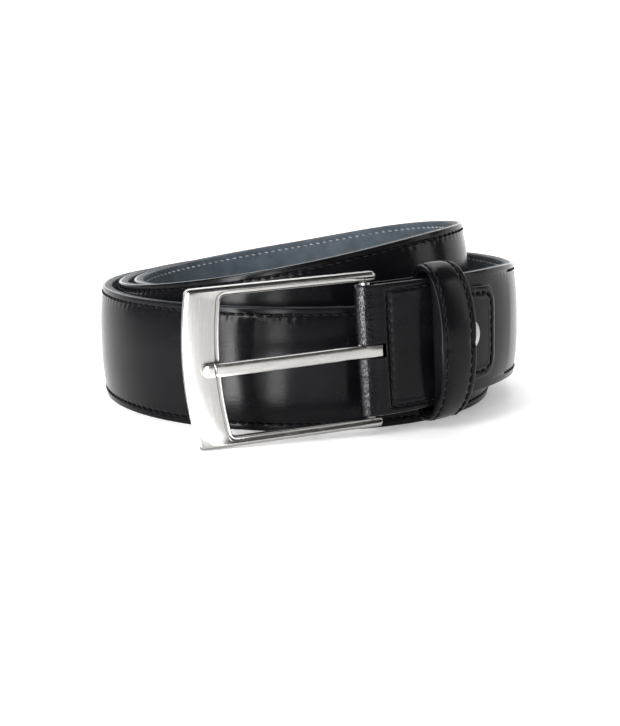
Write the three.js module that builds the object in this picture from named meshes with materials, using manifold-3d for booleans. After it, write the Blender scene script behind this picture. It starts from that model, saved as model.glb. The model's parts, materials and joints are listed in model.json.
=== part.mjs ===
// Leather dress belt, coiled three turns and standing on its edge.
// Millimetres, +Z up. The strap is laid along a spiral whose turns climb out of the coil; the buckle
// hangs on the outer end, and the pointed tail is the innermost end.
// The origin is under the middle of the coiled belt, on the surface it stands on.
import * as THREE from 'three';
import { mergeVertices } from 'three/addons/utils/BufferGeometryUtils.js';
import Module from 'manifold-3d';

// ---------------------------------------------------------------- driving dimensions
const STRAP_WIDTH = 35;
const BELT_LENGTH = 1050;              // crossbar to tail tip
const STATION = 12.5;                  // spacing of the strap's cross-sections
const HOLES = { first: 850, pitch: 25, count: 5, r: 1.75 };
const TIP_LENGTH = 17;
const GAP = 0.3;

const COIL_CENTRE = [0.17, 10.5];       // coil axis in the part's frame
const TURN_START = -0.2065;               // turns are counted from the coil's right-hand side
const LEAN = [                         // [turn, degrees that the strap leans to the left]
  [-0.25, 3.0], [0.25, 1.8], [0.5, 0.2], [1.1, 0], [1.4, 1.5], [1.6, 2.5], [1.9, 5.0], [2.1, 5.5],
  [2.4, 3.0], [2.6, 2.0], [3.1, 2.0],
];
const TILT = [                         // [turn, degrees that the turn tilts about the front-back axis]
  [-0.25, 5.0], [-0.1, 4.2], [0, 3.0], [0.25, 3.0], [0.4, 1.5], [0.5, 0.3], [0.6, 0], [1.08, 0],
  [1.3, 4.5], [1.5, 7.5], [1.75, 9.4], [1.87, 10.1], [2.0, 9.4], [2.13, 9.0], [2.25, 7.7],
  [2.5, 6.0], [3.1, 4.0],
];
const TILT_LINE = -66;                 // x of the line that the tilted turns hinge on
const HALF_WIDTH = [67.8, -8.2, 0.7];  // of the spiral at t turns, as a + b t + c t²
const HALF_DEPTH = [66.5, -10.3, 0.7];
const EYE = [-1.6, -3];                // the spiral's middle from the coil's centre
const EYE_DRIFT = -0.5;                // per turn, in x
const PATH_STEP = 0.0005;              // turns
const PATH_STEPS = 6400;

const STRAP_LAYERS = {                 // [w, n] outlines; w across the strap, n outwards
  outer: [
    [0, 0.35], [0, 1.0], [2, 1.2], [8, 2.05], [17.5, 2.3],
    [27, 2.05], [33, 1.2], [35, 1.0], [35, 0.35],
  ],
  filler: [[0.2, -0.7], [0.2, 0.1], [34.8, 0.1], [34.8, -0.7]],
  lining: [[0.1, -1.75], [0.1, -0.95], [34.9, -0.95], [34.9, -1.75]],
};
const SKIVED = {                       // the same outlines where the strap end is pared inside the chape
  outer: [
    [0, 0.55], [0, 0.9], [2, 1.2], [8, 1.2], [17.5, 1.2],
    [27, 1.2], [33, 1.2], [35, 0.9], [35, 0.55],
  ],
  filler: [[0.2, -0.3], [0.2, 0.3], [34.8, 0.3], [34.8, -0.3]],
  lining: [[0.1, -1.2], [0.1, -0.55], [34.9, -0.55], [34.9, -1.2]],
};
const STRAP_START = 8;
const SKIVE_END = 45;                  // the strap is pared from here back to the crossbar
const FULL_FROM = 57;
const EDGE_N = 1.2;                    // outer face at the stitches; the padded crown rises from it
const LINING_N = -1.75;                // inner face
const CROWN_FADE = 14;                 // length over which the padding runs out at the tip
const THREAD_LIFT = 0.25;              // clear of the strap's faces
const THREAD_R = 0.2;
const STITCH_INSET = 2;

const CHAPE = { width: 36, leather: 1.2, inside: 1.65, length: 44, inner: 41 };
const SLOT = { width: 4.8, outer: 5.4, inner: 3.2 };    // for the prong; lengths from the crossbar
const TAB = [                          // [along, inset] of the chape's end, from the side to its flat end
  [28, 0], [31, 3.2], [33.5, 4.4], [40.6, 4.8], [42.6, 6], [43.7, 8.2], [44, 10.6],
];
const TAB_STITCHES = [[30, 5.2], [33, 6.4], [39.4, 6.8], [40.9, 7.8], [41.7, 9.4], [42, 11.4]];
const SIDE_STITCHES = [7.6, 13, 19.5, 26.8];            // stations of the stitch line along each side
const CLOSING_STITCH = 6.7;

const RIVET = {
  s: 31.2, headR: 4.5, headH: 0.9, postR: 1.4, capR: 4.0, capH: 0.8, seat: 0.25, grip: 0.5,
};

const KEEPER = { s: 22.5, width: 11, flat: 0.55, joint: 0.004 };
// Loops round the strap: middle [w, n], half height, front and back depth, and squareness along w and n.
const KEEPER_LINING = {
  inner: { middle: [16.8, 0], reach: [20.2, 4.4, 4.1], square: [7, 2.5] },
  outer: { middle: [16.8, 0], reach: [20.7, 4.9, 4.6], square: [7, 2.5] },
};
const KEEPER_LEATHER = {
  inner: { middle: [16.8, 0], reach: [20.95, 5.2, 4.9], square: [7, 2.5] },
  outer: { middle: [16.75, -1.9], reach: [22.4, 11.0, 4.05], square: [2.3, 2.15] },
};
const KEEPER_STITCH = { inset: 1.5, lift: 0.1, from: 0.12, sweep: 0.76 };     // from and sweep in half turns
const STAPLE = { half: 2.4, leg: 0.22, shoulder: 0.36, top: -6.45, root: -5.1, holeR: 0.6 };

const BUCKLE = {
  height: 42.6, window: 37.6, barToFront: 48, bow: 2.3, front: 9.7, innerBow: 1.7,
  thick: 2.8, end: 2.4, bevel: 0.5, corner: 3.2, innerCorner: 1.8,
};
const BUCKLE_TURN = 1.5;               // degrees that the buckle lies inward of the strap's line
const PIN = { r: 1.4, neckR: 0.8, half: 18.5, neck: 20.1 };
const PRONG = { length: 45.5, width: 3.6, eyeR: 2.65, boreR: 1.52, eyeWidth: 3.4, neckFrom: 5, neckTo: 9 };
const PRONG_PROFILE = [                // [x, z] from the eye's underside round the tip to its top
  [8, 0.35], [25, 1.2], [38, 1.75], [44.9, 1.75], [45.5, 2.2],
  [45.3, 3.0], [44.1, 3.5], [40, 3.65], [25, 3.25], [8, 2.75],
];

// ---------------------------------------------------------------- materials
const material = (name, color, roughness, metalness) =>
  Object.assign(new THREE.MeshStandardMaterial({ color, roughness, metalness }), { name });
const blackLeather = material('black_leather', 0x121214, 0.35, 0);
const liningLeather = material('lining_leather', 0x3d4650, 0.8, 0);
const fibreBoard = material('filler_board', 0x2a2725, 0.9, 0);
const blackThread = material('black_thread', 0x1a1a1c, 0.7, 0);
const greyThread = material('grey_thread', 0x9aa0a4, 0.7, 0);
const brushedNickel = material('brushed_nickel', 0xb4b0a8, 0.32, 1);

// ---------------------------------------------------------------- the coil's path
const V = (x, y, z) => new THREE.Vector3(x, y, z);

// Smooth curve through [position, value] keys.
function keyed(keys, t) {
  let i = 0;
  while (i < keys.length - 2 && t > keys[i + 1][0]) i++;
  const slope = (k) => {
    const a = keys[Math.max(k - 1, 0)];
    const b = keys[Math.min(k + 1, keys.length - 1)];
    return (b[1] - a[1]) / (b[0] - a[0]);
  };
  const h = keys[i + 1][0] - keys[i][0];
  const u = Math.min(Math.max((t - keys[i][0]) / h, 0), 1);
  const [u2, u3] = [u * u, u * u * u];
  return (2 * u3 - 3 * u2 + 1) * keys[i][1] + (u3 - 2 * u2 + u) * h * slope(i)
    + (3 * u2 - 2 * u3) * keys[i + 1][1] + (u3 - u2) * h * slope(i + 1);
}

// The strap's lower edge, at the middle of its thickness, t turns round the coil.
function coilPoint(t) {
  const halfWidth = HALF_WIDTH[0] + HALF_WIDTH[1] * t + HALF_WIDTH[2] * t * t;
  const halfDepth = HALF_DEPTH[0] + HALF_DEPTH[1] * t + HALF_DEPTH[2] * t * t;
  const x = EYE[0] + EYE_DRIFT * t + halfWidth * Math.cos(2 * Math.PI * t);
  const y = EYE[1] + halfDepth * Math.sin(2 * Math.PI * t);
  const tilt = Math.max(keyed(TILT, t), 0) * Math.PI / 180;
  return V(x + COIL_CENTRE[0], y + COIL_CENTRE[1], Math.max(Math.tan(tilt) * (x - TILT_LINE), 0));
}

const LENGTHS = [[0, TURN_START]];     // [length along the strap, turns]
for (let i = 1, prev = coilPoint(TURN_START); i <= PATH_STEPS; i++) {
  const t = TURN_START + i * PATH_STEP;
  const p = coilPoint(t);
  LENGTHS.push([LENGTHS[i - 1][0] + p.distanceTo(prev), t]);
  prev = p;
}

function turnAt(s) {
  let lo = 0;
  let hi = LENGTHS.length - 1;
  while (hi - lo > 1) {
    const mid = (lo + hi) >> 1;
    if (LENGTHS[mid][0] > s) hi = mid;
    else lo = mid;
  }
  const [a, b] = [LENGTHS[lo], LENGTHS[hi]];
  return a[1] + (b[1] - a[1]) * (s - a[0]) / (b[0] - a[0]);
}

// Frame at length s: point p on the lower edge, along (tangent), across the strap, out (outer normal).
function frameAt(s) {
  const t = turnAt(Math.max(s, 0));
  const p = coilPoint(t);
  const along = coilPoint(t + 2 * PATH_STEP).sub(coilPoint(t - 2 * PATH_STEP)).normalize();
  if (s < 0) p.addScaledVector(along, s);
  const lean = keyed(LEAN, t) * Math.PI / 180;
  const across = V(-Math.sin(lean), 0, Math.cos(lean));
  across.addScaledVector(along, -across.dot(along)).normalize();
  return { p, along, across, out: along.clone().cross(across) };
}

const onStrap = (s, w, n) => {
  const f = frameAt(s);
  return f.p.clone().addScaledVector(f.across, w).addScaledVector(f.out, n);
};

// ---------------------------------------------------------------- solid builders
// Closed solid through rings of equal length, each a list of points. The last side's quads are split
// along the other diagonal, so that a layer's underside matches the top of the layer below it.
function loft(rings) {
  const m = rings[0].length;
  const positions = rings.flat().flatMap((p) => [p.x, p.y, p.z]);
  const index = [];
  for (let i = 0; i < rings.length - 1; i++) {
    const [a, b] = [i * m, (i + 1) * m];
    for (let j = 0; j < m - 1; j++) {
      index.push(a + j, a + j + 1, b + j + 1, a + j, b + j + 1, b + j);
    }
    index.push(a + m - 1, a, b + m - 1, a, b, b + m - 1);
  }
  for (const [ring, base, flip] of [[rings[0], 0, true], [rings.at(-1), (rings.length - 1) * m, false]]) {
    for (const [a, b, c] of capFaces(ring)) {
      index.push(base + a, base + (flip ? c : b), base + (flip ? b : c));
    }
  }
  const geometry = new THREE.BufferGeometry();
  geometry.setAttribute('position', new THREE.Float32BufferAttribute(positions, 3));
  geometry.setIndex(index);
  return outward(geometry);
}

// Triangles over a ring, wound the way the ring runs.
function capFaces(ring) {
  const normal = V(0, 0, 0);
  ring.forEach((p, i) => {
    const q = ring[(i + 1) % ring.length];
    normal.add(V((p.y - q.y) * (p.z + q.z), (p.z - q.z) * (p.x + q.x), (p.x - q.x) * (p.y + q.y)));
  });
  normal.normalize();
  const u = ring[1].clone().sub(ring[0]);
  u.addScaledVector(normal, -u.dot(normal)).normalize();
  const v = normal.clone().cross(u);
  const flat = ring.map((p) => new THREE.Vector2(p.dot(u), p.dot(v)));
  return THREE.ShapeUtils.triangulateShape(flat, []);
}

function volume(geometry) {
  const [p, ix] = [geometry.attributes.position, geometry.index.array];
  let sum = 0;
  for (let i = 0; i < ix.length; i += 3) {
    const [a, b, c] = [0, 1, 2].map((k) => V(0, 0, 0).fromBufferAttribute(p, ix[i + k]));
    sum += a.dot(b.cross(c)) / 6;
  }
  return sum;
}

function outward(geometry) {
  if (volume(geometry) < 0) {
    const ix = geometry.index.array;
    for (let i = 0; i < ix.length; i += 3) [ix[i + 1], ix[i + 2]] = [ix[i + 2], ix[i + 1]];
  }
  geometry.computeVertexNormals();
  return geometry;
}

// Thread bead through surface points; each point is { p, up }.
function bead(points, r = THREAD_R, sides = 3) {
  return loft(points.map(({ p, up }, i) => {
    const a = points[Math.max(i - 1, 0)].p;
    const b = points[Math.min(i + 1, points.length - 1)].p;
    const side = b.clone().sub(a).cross(up).normalize();
    return Array.from({ length: sides }, (_, k) => {
      const angle = Math.PI / 2 + k * 2 * Math.PI / sides;
      return p.clone()
        .addScaledVector(side, r * Math.cos(angle))
        .addScaledVector(up, r * Math.sin(angle));
    });
  }));
}

const wasm = await Module();
wasm.setup();

function toSolid(geometry, matrix) {
  let g = geometry.clone();
  g.deleteAttribute('normal');
  g.deleteAttribute('uv');
  if (matrix) g.applyMatrix4(matrix);
  g = mergeVertices(g, 1e-4);
  const mesh = new wasm.Mesh({
    numProp: 3,
    vertProperties: new Float32Array(g.attributes.position.array),
    triVerts: new Uint32Array(g.index.array),
  });
  mesh.merge();
  return new wasm.Manifold(mesh);
}

function toGeometry(solid) {
  const mesh = solid.getMesh();
  const g = new THREE.BufferGeometry();
  g.setAttribute('position', new THREE.Float32BufferAttribute(mesh.vertProperties, 3));
  g.setIndex(new THREE.Uint32BufferAttribute(mesh.triVerts, 1));
  g.computeVertexNormals();
  return g;
}

// Cylinder along a strap's outward normal, centred at (s, w), from n0 to n1.
function drill(s, w, r, n0, n1, sides = 12) {
  const f = frameAt(s);
  const basis = new THREE.Matrix4().makeBasis(f.along, f.out, f.across.clone().negate());
  basis.setPosition(onStrap(s, w, (n0 + n1) / 2));
  return toSolid(new THREE.CylinderGeometry(r, r, n1 - n0, sides), basis);
}

const belt = new THREE.Group();
function add(name, geometry, mat, parent = belt) {
  const mesh = new THREE.Mesh(geometry, mat);
  mesh.name = name;
  parent.add(mesh);
  return mesh;
}

// ---------------------------------------------------------------- strap
// Stations closer together at the tip, where the outline narrows.
const stations = [STRAP_START, 16, 24, 33, SKIVE_END, FULL_FROM];
const lastFull = BELT_LENGTH - TIP_LENGTH;
const runs = Math.ceil((lastFull - FULL_FROM) / STATION);
for (let i = 1; i <= runs; i++) stations.push(FULL_FROM + (lastFull - FULL_FROM) * i / runs);
for (const u of [0.3, 0.55, 0.75, 0.9, 0.98]) stations.push(lastFull + TIP_LENGTH * u);

const skive = (s) => Math.min(Math.max((s - SKIVE_END) / (FULL_FROM - SKIVE_END), 0), 1);
const tipScale = (s) => {
  const u = Math.max((s - lastFull) / TIP_LENGTH, 0);
  return Math.pow(1 - Math.pow(u, 2.2), 0.6);
};
const middle = STRAP_WIDTH / 2;
const crown = (s) => Math.min(Math.max((lastFull + 2 - s) / CROWN_FADE, 0), 1);

function strapLayer(layer, cuts) {
  const rings = stations.map((s) => STRAP_LAYERS[layer].map(([w, n], i) => {
    const [w0, n0] = SKIVED[layer][i];
    const k = skive(s);
    const across = w0 + (w - w0) * k;
    const out = n0 + (n - n0) * k;
    const padded = out > EDGE_N ? EDGE_N + (out - EDGE_N) * crown(s) : out;
    return onStrap(s, middle + (across - middle) * tipScale(s), padded);
  }));
  return toGeometry(cuts.reduce((solid, cut) => solid.subtract(cut), toSolid(loft(rings))));
}

const strapCuts = [drill(RIVET.s, middle, RIVET.postR + GAP, -4, 4)];
for (let i = 0; i < HOLES.count; i++) {
  strapCuts.push(drill(HOLES.first + i * HOLES.pitch, middle, HOLES.r, -4, 4));
}
add('strap_outer', strapLayer('outer', strapCuts), blackLeather);
add('strap_filler', strapLayer('filler', strapCuts), fibreBoard);
add('strap_lining', strapLayer('lining', strapCuts), liningLeather);

// One continuous stitch line down one edge, round the tip and back along the other.
function strapThread(n) {
  const path = [];
  const run = stations.filter((s) => s >= FULL_FROM - 1 && s <= lastFull + 0.8 * TIP_LENGTH);
  const at = (s, side) => {
    const w = middle + side * (middle - STITCH_INSET) * tipScale(s);
    return { p: onStrap(s, w, n), up: frameAt(s).out };
  };
  run.forEach((s) => path.push(at(s, -1)));
  [...run].reverse().forEach((s) => path.push(at(s, 1)));
  return bead(path);
}
add('strap_thread_outer', strapThread(EDGE_N + THREAD_LIFT + THREAD_R), blackThread);
add('strap_thread_inner', strapThread(LINING_N - THREAD_LIFT - THREAD_R), greyThread);

// ---------------------------------------------------------------- chape: leather folded round the crossbar
const chapeSpan = (inset) => [middle - CHAPE.width / 2 + inset, middle + CHAPE.width / 2 - inset];
const foldR = CHAPE.inside + CHAPE.leather / 2;
const chapePath = [];                  // { s, n, ds, dn (unit normal), inset }
for (const [s, inset] of [...TAB].reverse()) chapePath.push({ s, n: foldR, ds: 0, dn: 1, inset });
for (const s of [20, 13, 6.5]) chapePath.push({ s, n: foldR, ds: 0, dn: 1, inset: 0 });
for (let i = 0; i <= 8; i++) {
  const angle = Math.PI / 2 + Math.PI * i / 8;
  const [ds, dn] = [Math.cos(angle), Math.sin(angle)];
  chapePath.push({ s: foldR * ds, n: foldR * dn, ds, dn, inset: 0 });
}
for (const s of [6.5, 13, 20]) chapePath.push({ s, n: -foldR, ds: 0, dn: -1, inset: 0 });
for (const [s, inset] of TAB) {
  chapePath.push({ s: s * CHAPE.inner / CHAPE.length, n: -foldR, ds: 0, dn: -1, inset });
}
const half = CHAPE.leather / 2;
const chapeRings = chapePath.map(({ s, n, ds, dn, inset }) => {
  const [low, high] = chapeSpan(inset);
  const corner = (w, k) => onStrap(s + ds * k * half, w, n + dn * k * half);
  return [corner(low, -1), corner(low, 1), corner(high, 1), corner(high, -1)];
});

// Box cutter in the crossbar's own frame.
const barFrame = frameAt(0);
const barCentre = onStrap(0, middle, 0);
function barBox(s0, s1, n0, n1, width) {
  const m = new THREE.Matrix4().makeBasis(barFrame.along, barFrame.across, barFrame.out);
  const centre = barCentre.clone().addScaledVector(barFrame.along, (s0 + s1) / 2)
    .addScaledVector(barFrame.out, (n0 + n1) / 2);
  m.setPosition(centre);
  return toSolid(new THREE.BoxGeometry(s1 - s0, width, n1 - n0), m);
}
const chapeSolid = toSolid(loft(chapeRings))
  .subtract(barBox(-5, SLOT.outer, 0, 5, SLOT.width))
  .subtract(barBox(-5, SLOT.inner, -5, 0.5, SLOT.width))
  .subtract(drill(RIVET.s, middle, RIVET.postR + GAP, -4, 4));
add('chape', toGeometry(chapeSolid), blackLeather);

// Stitching on the chape: the outline of the tab, and the line that closes the fold.
const chapeTop = CHAPE.inside + CHAPE.leather + GAP + THREAD_R;
const outline = [];
for (const s of SIDE_STITCHES) outline.push([s, chapeSpan(STITCH_INSET)[0]]);
for (const [s, inset] of TAB_STITCHES) outline.push([s, chapeSpan(inset)[0]]);
const mirrored = outline.map(([s, w]) => [s, 2 * middle - w]).reverse();
const stitched = (points) => points.map(([s, w]) => ({ p: onStrap(s, w, chapeTop), up: frameAt(s).out }));
add('chape_thread_outline', bead(stitched([...outline, ...mirrored])), blackThread);
const [closeLow, closeHigh] = chapeSpan(STITCH_INSET);
const closing = [closeLow, middle, closeHigh].map((w) => [CLOSING_STITCH, w]);
add('chape_thread_bar', bead(stitched(closing)), blackThread);

// ---------------------------------------------------------------- rivet through chape and strap
const rivetFrame = frameAt(RIVET.s);
const rivetGroup = new THREE.Group();
rivetGroup.position.copy(onStrap(RIVET.s, middle, 0));
rivetGroup.quaternion.setFromRotationMatrix(new THREE.Matrix4()
  .makeBasis(rivetFrame.along, rivetFrame.out, rivetFrame.across.clone().negate()));
belt.add(rivetGroup);

// Closed solid of revolution about local Y from a profile of [radius, y].
function turned(profile, sides) {
  let g = new THREE.LatheGeometry(profile.map(([r, y]) => new THREE.Vector2(r, y)), sides);
  g.deleteAttribute('normal');
  g.deleteAttribute('uv');
  g = mergeVertices(g, 1e-4);
  return toGeometry(toSolid(outward(g)));
}
const face = CHAPE.inside + CHAPE.leather;
const seat = face + RIVET.seat;
const postEnd = -seat - RIVET.grip + RIVET.seat;
const headTop = seat + RIVET.headH;
add('rivet', turned([
  [0, postEnd], [RIVET.postR, postEnd], [RIVET.postR, seat], [RIVET.headR - 0.3, seat],
  [RIVET.headR, seat + 0.3], [RIVET.headR - 0.8, headTop - 0.15], [RIVET.headR * 0.4, headTop],
  [0, headTop],
], 20), brushedNickel, rivetGroup);
add('rivet_cap', turned([
  [0, -seat - RIVET.capH], [RIVET.capR - 0.5, -seat - RIVET.capH + 0.05], [RIVET.capR, -seat - 0.3],
  [RIVET.capR - 0.2, -seat], [RIVET.postR + GAP, -seat], [RIVET.postR + GAP, -seat - RIVET.grip],
  [0, -seat - RIVET.grip],
], 20), brushedNickel, rivetGroup);

// ---------------------------------------------------------------- keeper: padded loop round the strap
function keeperCurve({ middle: [w, n], reach: [height, front, back], square }, angle) {
  const [c, d] = [Math.cos(angle), Math.sin(angle)];
  const depth = d > 0 ? front : back;
  return [
    w + height * Math.sign(c) * Math.pow(Math.abs(c), 2 / square[0]),
    n + depth * Math.sign(d) * Math.pow(Math.abs(d), 2 / square[1]),
  ];
}
// Loop from one side of the butt joint at the back, round the front, to the other side.
function keeperLoop(inner, outer, width, edge) {
  const rings = [];
  const count = 36;
  for (let i = 0; i <= count; i++) {
    const angle = -Math.PI / 2 + KEEPER.joint + 2 * (Math.PI - KEEPER.joint) * i / count;
    const [wi, ni] = keeperCurve(inner, angle);
    const [wo, no] = keeperCurve(outer, angle);
    const at = (ds, k) => onStrap(KEEPER.s + ds, wi + (wo - wi) * k, ni + (no - ni) * k);
    const h = width / 2;
    rings.push([
      at(-h, 0), at(0, 0), at(h, 0), at(h, 1 - edge),
      at(h * KEEPER.flat, 1), at(-h * KEEPER.flat, 1), at(-h, 1 - edge),
    ]);
  }
  return loft(rings);
}
const staplePins = [-1, 1].map(
  (k) => drill(KEEPER.s, middle + k * STAPLE.half, STAPLE.holeR, -8, -4.75, 8));
const keeperSolid = staplePins.reduce((solid, pin) => solid.subtract(pin),
  toSolid(keeperLoop(KEEPER_LEATHER.inner, KEEPER_LEATHER.outer, KEEPER.width, 0.35)));
add('keeper_leather', toGeometry(keeperSolid), blackLeather);
add('keeper_lining', keeperLoop(KEEPER_LINING.inner, KEEPER_LINING.outer, KEEPER.width - 2 * GAP, 0.1),
  liningLeather);

function keeperThread(ds) {
  const points = [];
  for (let i = 0; i <= 14; i++) {
    const angle = Math.PI * (KEEPER_STITCH.from + KEEPER_STITCH.sweep * i / 14);
    const [w, n] = keeperCurve(KEEPER_LEATHER.outer, angle);
    const [w1, n1] = keeperCurve(KEEPER_LEATHER.outer, angle + 0.01);
    const f = frameAt(KEEPER.s + ds);
    const up = f.across.clone().multiplyScalar(n - n1).addScaledVector(f.out, w1 - w).normalize();
    if (up.dot(f.out) < 0) up.negate();
    const p = onStrap(KEEPER.s + ds, w, n).addScaledVector(up, KEEPER_STITCH.lift + THREAD_R);
    points.push({ p, up });
  }
  return bead(points);
}
const keeperStitchAt = KEEPER.width / 2 - KEEPER_STITCH.inset;
add('keeper_thread_front', keeperThread(-keeperStitchAt), blackThread);
add('keeper_thread_rear', keeperThread(keeperStitchAt), blackThread);

const stapleAt = (k, n) => ({
  p: onStrap(KEEPER.s, middle + k, n),
  up: frameAt(KEEPER.s).along,
});
const stapleTop = STAPLE.half - STAPLE.shoulder;
add('keeper_staple', bead([
  stapleAt(-STAPLE.half, STAPLE.root),
  stapleAt(-STAPLE.half, STAPLE.top + 0.25),
  stapleAt(-stapleTop, STAPLE.top),
  stapleAt(stapleTop, STAPLE.top),
  stapleAt(STAPLE.half, STAPLE.top + 0.25),
  stapleAt(STAPLE.half, STAPLE.root),
], STAPLE.leg, 6), brushedNickel);

// ---------------------------------------------------------------- buckle
// Local frame: x from the crossbar to the front bar, y across the strap, z outwards.
const turn = BUCKLE_TURN * Math.PI / 180;
const forward = barFrame.along.clone().negate().applyAxisAngle(barFrame.across, -turn);
const facing = forward.clone().cross(barFrame.across).negate();
const up = facing.clone().cross(forward);
const buckleGroup = new THREE.Group();
buckleGroup.position.copy(barCentre);
buckleGroup.quaternion.setFromRotationMatrix(new THREE.Matrix4().makeBasis(forward, up, facing));
belt.add(buckleGroup);

const hy = BUCKLE.height / 2;
const iy = BUCKLE.window / 2;
const b = BUCKLE.bevel;
const outerX = BUCKLE.barToFront - b;
const innerX = BUCKLE.barToFront + BUCKLE.bow - BUCKLE.front - BUCKLE.innerBow + b;
const outerY = hy - BUCKLE.corner;     // where the bowed front bar meets its rounded corners
const innerY = iy - BUCKLE.innerCorner;
const bowed = (x, bow, y, span) => x + bow * (1 - (y / span) ** 2);
const outerFace = (y) => bowed(outerX, BUCKLE.bow, y, hy);
const innerFace = (y) => bowed(innerX, BUCKLE.innerBow, y, iy);
const shape = new THREE.Shape();
shape.moveTo(-BUCKLE.end + b, hy - b);
shape.lineTo(-BUCKLE.end + b, iy + b);
shape.lineTo(innerX - b - 1.6, iy + b);
shape.quadraticCurveTo(innerX, iy + b, innerFace(innerY), innerY);
for (let i = 1; i <= 10; i++) shape.lineTo(innerFace(innerY * (1 - i / 5)), innerY * (1 - i / 5));
shape.quadraticCurveTo(innerX, -iy - b, innerX - b - 1.6, -iy - b);
shape.lineTo(-BUCKLE.end + b, -iy - b);
shape.lineTo(-BUCKLE.end + b, -hy + b);
shape.lineTo(outerX + b - BUCKLE.corner, -hy + b);
shape.quadraticCurveTo(outerX - 0.3, -hy + b, outerFace(-outerY), -outerY);
for (let i = 1; i <= 10; i++) shape.lineTo(outerFace(outerY * (i / 5 - 1)), outerY * (i / 5 - 1));
shape.quadraticCurveTo(outerX - 0.3, hy - b, outerX + b - BUCKLE.corner, hy - b);
shape.closePath();
const frameGeometry = new THREE.ExtrudeGeometry(shape, {
  depth: BUCKLE.thick - 2 * b,
  bevelEnabled: true,
  bevelSize: b,
  bevelThickness: b,
  bevelSegments: 2,
  curveSegments: 5,
});
frameGeometry.translate(0, 0, -(BUCKLE.thick - 2 * b) / 2);
const pinHole = (end) => toSolid(
  new THREE.CylinderGeometry(PIN.neckR + GAP, PIN.neckR + GAP, 3, 12),
  new THREE.Matrix4().makeTranslation(0, end * (PIN.neck + GAP - 1.5), 0),
);
const frameSolid = toSolid(frameGeometry).subtract(pinHole(1)).subtract(pinHole(-1));
add('buckle_frame', toGeometry(frameSolid), brushedNickel, buckleGroup);

add('crossbar', turned([
  [0, -PIN.neck], [PIN.neckR, -PIN.neck], [PIN.neckR, -PIN.half], [PIN.r, -PIN.half],
  [PIN.r, PIN.half], [PIN.neckR, PIN.half], [PIN.neckR, PIN.neck], [0, PIN.neck],
], 24), brushedNickel, buckleGroup);

// Prong: side profile with the eye, cut to its plan outline.
const side = new THREE.Shape();
side.absarc(0, 0, PRONG.eyeR, 1.45, 2 * Math.PI - 0.35, false);
for (const [x, z] of PRONG_PROFILE) side.lineTo(x, z);
side.closePath();
side.holes.push(new THREE.Path().absarc(0, 0, PRONG.boreR, 0, 2 * Math.PI, true));
const sideSolid = toSolid(
  new THREE.ExtrudeGeometry(side, { depth: 8, bevelEnabled: false, curveSegments: 24 }),
  new THREE.Matrix4().makeRotationX(Math.PI / 2).setPosition(0, 4, 0),
);
const plan = new THREE.Shape();
const [eyeHalf, prongHalf] = [PRONG.eyeWidth / 2, PRONG.width / 2];
plan.moveTo(-4, -eyeHalf);
plan.lineTo(PRONG.neckFrom, -eyeHalf);
plan.lineTo(PRONG.neckTo, -prongHalf);
plan.absarc(PRONG.length - prongHalf, 0, prongHalf, -Math.PI / 2, Math.PI / 2, false);
plan.lineTo(PRONG.neckTo, prongHalf);
plan.lineTo(PRONG.neckFrom, eyeHalf);
plan.lineTo(-4, eyeHalf);
plan.closePath();
const planSolid = toSolid(
  new THREE.ExtrudeGeometry(plan, { depth: 12, bevelEnabled: false, curveSegments: 10 }),
  new THREE.Matrix4().makeTranslation(0, 0, -6),
);
add('prong', toGeometry(sideSolid.intersect(planSolid)), brushedNickel, buckleGroup);

export default belt;
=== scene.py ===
"""Looks of the coiled leather dress belt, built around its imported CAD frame.

Lengths are millimetres in the code and become metres where a mesh is made. The strap's path, the chape
and the keeper use the same formulas and sizes as the CAD model, so every piece lies on its CAD node.
"""
import json
import math

import bpy
import numpy as np
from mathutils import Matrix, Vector

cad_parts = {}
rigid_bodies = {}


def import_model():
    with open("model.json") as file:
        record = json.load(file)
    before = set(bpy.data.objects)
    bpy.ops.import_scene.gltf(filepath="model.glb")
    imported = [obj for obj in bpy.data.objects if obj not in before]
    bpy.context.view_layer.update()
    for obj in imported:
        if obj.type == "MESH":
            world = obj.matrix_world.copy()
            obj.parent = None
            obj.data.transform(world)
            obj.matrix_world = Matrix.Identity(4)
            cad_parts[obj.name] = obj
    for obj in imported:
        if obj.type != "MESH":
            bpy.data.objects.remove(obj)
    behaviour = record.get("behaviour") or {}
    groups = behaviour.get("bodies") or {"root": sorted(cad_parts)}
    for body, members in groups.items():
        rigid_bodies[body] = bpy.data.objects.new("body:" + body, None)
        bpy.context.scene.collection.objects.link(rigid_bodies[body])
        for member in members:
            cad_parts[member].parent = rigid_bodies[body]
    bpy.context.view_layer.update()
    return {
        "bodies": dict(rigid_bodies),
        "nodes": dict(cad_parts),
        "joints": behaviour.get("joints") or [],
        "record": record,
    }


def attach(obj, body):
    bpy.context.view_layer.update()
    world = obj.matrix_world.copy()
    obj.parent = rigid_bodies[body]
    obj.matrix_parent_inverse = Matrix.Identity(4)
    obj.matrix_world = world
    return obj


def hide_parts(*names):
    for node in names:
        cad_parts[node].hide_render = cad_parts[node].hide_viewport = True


MM = 0.001
PI = math.pi

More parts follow.
